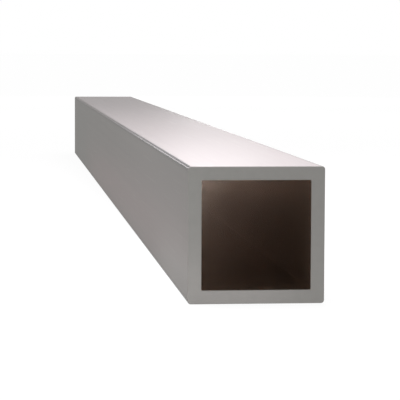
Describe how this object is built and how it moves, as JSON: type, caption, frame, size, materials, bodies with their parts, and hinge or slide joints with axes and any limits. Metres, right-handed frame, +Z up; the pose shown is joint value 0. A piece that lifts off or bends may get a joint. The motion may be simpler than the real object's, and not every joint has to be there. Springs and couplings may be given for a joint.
{
  "type": "square metal tube",
  "caption": "Length of extruded aluminium square tube: a straight hollow bar with a square bore, lightly rounded outside corners and ends sawn square.",
  "frame": {"origin": "centre of the underside that the tube rests on, half-way along its length", "axes": "+Y along the tube, +X across it, +Z up"},
  "size_m": [0.05, 1, 0.05],
  "materials": {
    "aluminium": "mill finish, satin, with fine lines along the tube from the die and sawn ends"
  },
  "bodies": {
    "root": {"square_tube": "aluminium"}
  },
  "joints": []
}
